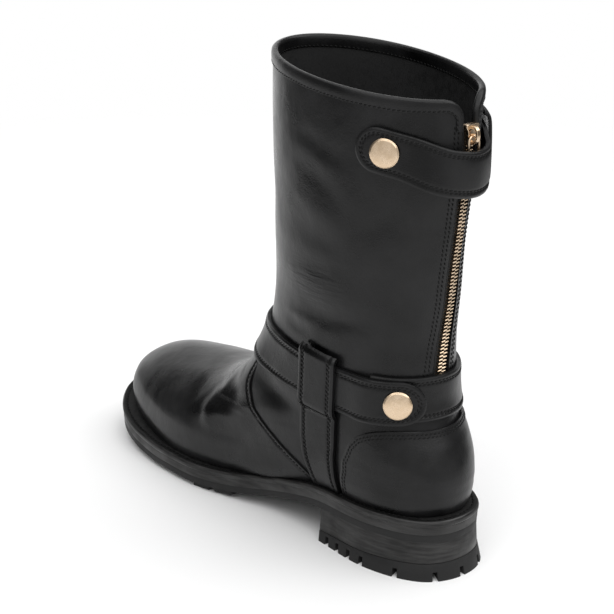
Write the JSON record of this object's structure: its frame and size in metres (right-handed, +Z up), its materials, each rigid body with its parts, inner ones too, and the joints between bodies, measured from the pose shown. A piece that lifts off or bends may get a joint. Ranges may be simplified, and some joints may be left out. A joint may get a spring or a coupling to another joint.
{
  "type": "buckle boot",
  "caption": "Left mid-calf boot in black leather with a back zip, snap-fastened ankle and top straps, side harness straps, welted layered sole and a notched stacked heel.",
  "frame": {"origin": "on the floor under the middle of the sole's bounding box", "axes": "toe along -Y, the wearer's left (outer) side +X, +Z up from the floor to the collar"},
  "size_m": [0.1043, 0.2903, 0.2717],
  "materials": {
    "black_leather": "satin",
    "black_lining": "matte",
    "burnished_edge": "burnished",
    "black_rubber": "matte",
    "pale_gold": "polished",
    "black_tape": "woven"
  },
  "bodies": {
    "boot": {"outsole": "black_rubber", "midsole": "burnished_edge", "welt": "burnished_edge", "heel_stack": "burnished_edge", "heel_top_lift": "black_rubber", "insole": "black_lining", "upper": "black_leather", "heel_counter": "black_leather", "collar_binding": "black_leather", "top_strap": "black_leather", "top_strap_keeper": "black_leather", "ankle_strap": "black_leather", "harness_strap_outer": "black_leather", "harness_strap_inner": "black_leather", "top_snap": "pale_gold", "ankle_snap": "pale_gold", "zip_tape": "black_tape", "zip_chain": "pale_gold", "zip_slider": "pale_gold"},
    "pull": {"zip_pull": "pale_gold"}
  },
  "joints": [
    {"name": "zip_pull_swing", "type": "hinge", "parent": "boot", "child": "pull", "pos_m": [-0.0054, 0.13471, 0.23924], "axis": [1, 0, 0], "range_deg": [0, 5]}
  ]
}
